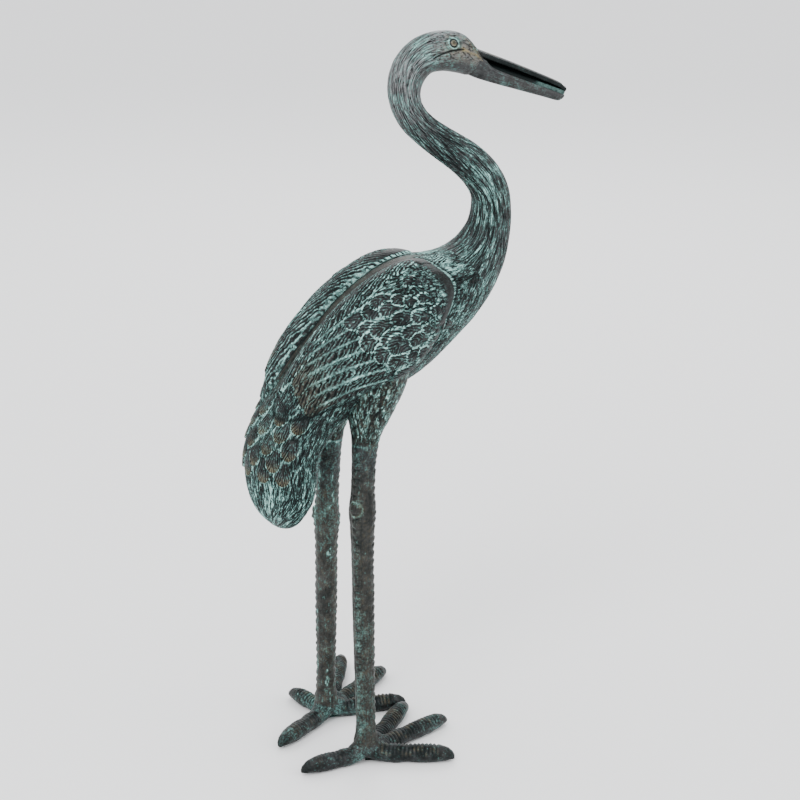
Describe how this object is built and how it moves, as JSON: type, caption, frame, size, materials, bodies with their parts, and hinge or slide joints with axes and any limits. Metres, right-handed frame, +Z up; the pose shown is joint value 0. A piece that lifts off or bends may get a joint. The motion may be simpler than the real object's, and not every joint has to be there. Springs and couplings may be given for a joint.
{
  "type": "bronze garden crane statue",
  "caption": "Standing crane cast in bronze with an S-shaped neck, open slender beak, folded feathered wings and splayed clawed feet, for a garden or pond edge.",
  "frame": {"origin": "on the ground, under the middle of the whole figure's box", "axes": "+Z up, +X the way the beak points, -Y the bird's right side"},
  "size_m": [0.4244, 0.3214, 0.9],
  "materials": {
    "bronze": "dark bronze with green verdigris in the hollows, satin"
  },
  "bodies": {
    "root": {"crane": "bronze"}
  },
  "joints": []
}
